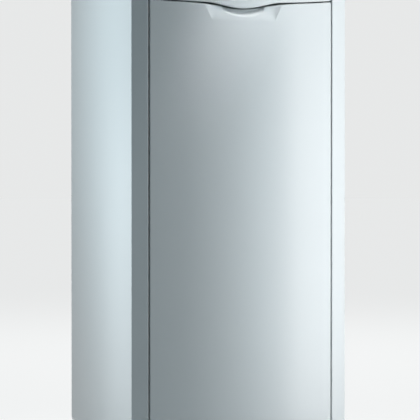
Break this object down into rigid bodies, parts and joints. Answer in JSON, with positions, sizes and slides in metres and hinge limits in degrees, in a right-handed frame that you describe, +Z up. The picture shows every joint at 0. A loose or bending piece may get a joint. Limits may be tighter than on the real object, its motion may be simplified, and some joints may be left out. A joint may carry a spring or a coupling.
{
  "type": "oil condensing boiler",
  "caption": "Floor-standing oil condensing boiler with a convex tilting front door, a hinged console flap, burner, exchanger and concentric flue adapter.",
  "frame": {"origin": "on the floor under the middle of the whole part, rear connections included", "axes": "+Z up, the door faces -Y, +X to the right seen from the front"},
  "size_m": [0.57, 0.7376, 1.322],
  "materials": {
    "casing_paint": "white semi-gloss powder coat",
    "casing_plastic": "white semi-gloss",
    "zinc_sheet": "galvanised",
    "stainless": "plain stainless",
    "boiler_steel": "primed dark grey",
    "cast_aluminium": "as cast",
    "copper": "plain copper",
    "brass": "plain brass",
    "motor_paint": "black paint",
    "black_plastic": "fine texture",
    "grey_plastic": "fine texture",
    "red_plastic": "gloss",
    "black_rubber": "matt",
    "mineral_felt": "fibrous",
    "ceramic_fibre": "fibrous",
    "dark_glass": "polished",
    "clear_glass": "clear",
    "board": "solder resist"
  },
  "bodies": {
    "casing": {"side_panel_left": "casing_paint", "side_panel_right": "casing_paint", "top_cover": "casing_paint", "base_tray": "zinc_sheet", "plinth_panel": "casing_paint", "front_cross_rail": "zinc_sheet", "rear_panel": "zinc_sheet", "cable_gland": "black_plastic", "boiler_body": "boiler_steel", "insulation_jacket": "mineral_felt", "combustion_liner": "ceramic_fibre", "plate_gasket": "ceramic_fibre", "burner_plate": "boiler_steel", "cradle_plate_front": "zinc_sheet", "cradle_plate_rear": "zinc_sheet", "condensing_exchanger": "stainless", "flue_collector": "grey_plastic", "flue_pipe": "grey_plastic", "flue_adapter": "casing_paint", "flow_pipe": "copper", "return_pipe": "copper", "drain_cock": "brass", "burner_housing": "cast_aluminium", "burner_motor": "motor_paint", "oil_pump": "cast_aluminium", "ignition_unit": "black_plastic", "nozzle_rod": "stainless", "flame_tube": "stainless", "oil_filter": "cast_aluminium", "oil_line": "copper", "oil_hose": "black_rubber", "condensate_trap": "grey_plastic", "condensate_hose": "grey_plastic", "neutraliser_box": "grey_plastic", "air_hose": "black_rubber", "control_box": "zinc_sheet", "console_panel": "grey_plastic", "display_window": "dark_glass", "gauge_case": "black_plastic", "gauge_lens": "clear_glass", "control_board": "board"},
    "door": {"front_door": "casing_paint", "door_insulation": "mineral_felt"},
    "flap": {"console_flap": "casing_plastic"},
    "heating_dial": {"heating_knob": "black_plastic"},
    "hot_water_dial": {"hot_water_knob": "black_plastic"},
    "rocker": {"mains_switch": "black_plastic"},
    "down_key": {"button_down": "black_plastic"},
    "up_key": {"button_up": "black_plastic"},
    "reset_key": {"reset_button": "red_plastic"},
    "needle": {"gauge_needle": "red_plastic"},
    "rotor": {"motor_shaft": "stainless", "fan_wheel": "zinc_sheet", "drive_coupling": "black_plastic"},
    "drain_handle": {"drain_lever": "red_plastic"},
    "oil_tap_handle": {"oil_tap_lever": "red_plastic"},
    "foot_front_left": {"levelling_foot_front_left": "black_plastic"},
    "foot_front_right": {"levelling_foot_front_right": "black_plastic"},
    "foot_rear_left": {"levelling_foot_rear_left": "black_plastic"},
    "foot_rear_right": {"levelling_foot_rear_right": "black_plastic"}
  },
  "joints": [
    {"name": "door_tilt", "type": "hinge", "parent": "casing", "child": "door", "pos_m": [0, -0.31681, 0.074], "axis": [1, 0, 0], "range_deg": [0, 20]},
    {"name": "flap_lift", "type": "hinge", "parent": "casing", "child": "flap", "pos_m": [0, -0.17879, 1.2665], "axis": [-1, 0, 0], "range_deg": [0, 75]},
    {"name": "heating_turn", "type": "hinge", "parent": "casing", "child": "heating_dial", "pos_m": [-0.125, -0.23384, 1.19019], "axis": [0, -0.7193, 0.6947], "range_deg": [0, 270]},
    {"name": "hot_water_turn", "type": "hinge", "parent": "casing", "child": "hot_water_dial", "pos_m": [0.125, -0.23384, 1.19019], "axis": [0, -0.7193, 0.6947], "range_deg": [0, 270]},
    {"name": "switch_rock", "type": "hinge", "parent": "casing", "child": "rocker", "pos_m": [-0.205, -0.22685, 1.19456], "axis": [1, 0, 0], "range_deg": [0, 16]},
    {"name": "down_press", "type": "slide", "parent": "casing", "child": "down_key", "axis": [0, 0.7193, -0.6947], "range_m": [0, 0.002], "stiffness_N_per_m": 400},
    {"name": "up_press", "type": "slide", "parent": "casing", "child": "up_key", "axis": [0, 0.7193, -0.6947], "range_m": [0, 0.002], "stiffness_N_per_m": 400},
    {"name": "reset_press", "type": "slide", "parent": "casing", "child": "reset_key", "axis": [0, 0.7193, -0.6947], "range_m": [0, 0.002], "stiffness_N_per_m": 400},
    {"name": "needle_swing", "type": "hinge", "parent": "casing", "child": "needle", "pos_m": [0.204, -0.23384, 1.19019], "axis": [0, -0.7193, 0.6947], "range_deg": [-135, 135]},
    {"name": "rotor_spin", "type": "hinge", "parent": "casing", "child": "rotor", "pos_m": [0, -0.21521, 0.59], "axis": [1, 0, 0], "continuous": true},
    {"name": "drain_turn", "type": "hinge", "parent": "casing", "child": "drain_handle", "pos_m": [0.128, -0.11936, 0.582], "axis": [1, 0, 0], "range_deg": [0, 90]},
    {"name": "oil_tap_turn", "type": "hinge", "parent": "casing", "child": "oil_tap_handle", "pos_m": [0.186, -0.07751, 0.4], "axis": [0, 0, 1], "range_deg": [0, 90]},
    {"name": "foot_front_left_turn", "type": "hinge", "parent": "casing", "child": "foot_front_left", "pos_m": [-0.24, -0.27021, 0], "axis": [0, 0, 1], "continuous": true},
    {"name": "foot_front_right_turn", "type": "hinge", "parent": "casing", "child": "foot_front_right", "pos_m": [0.24, -0.27021, 0], "axis": [0, 0, 1], "continuous": true},
    {"name": "foot_rear_left_turn", "type": "hinge", "parent": "casing", "child": "foot_rear_left", "pos_m": [-0.24, 0.28379, 0], "axis": [0, 0, 1], "continuous": true},
    {"name": "foot_rear_right_turn", "type": "hinge", "parent": "casing", "child": "foot_rear_right", "pos_m": [0.24, 0.28379, 0], "axis": [0, 0, 1], "continuous": true}
  ]
}
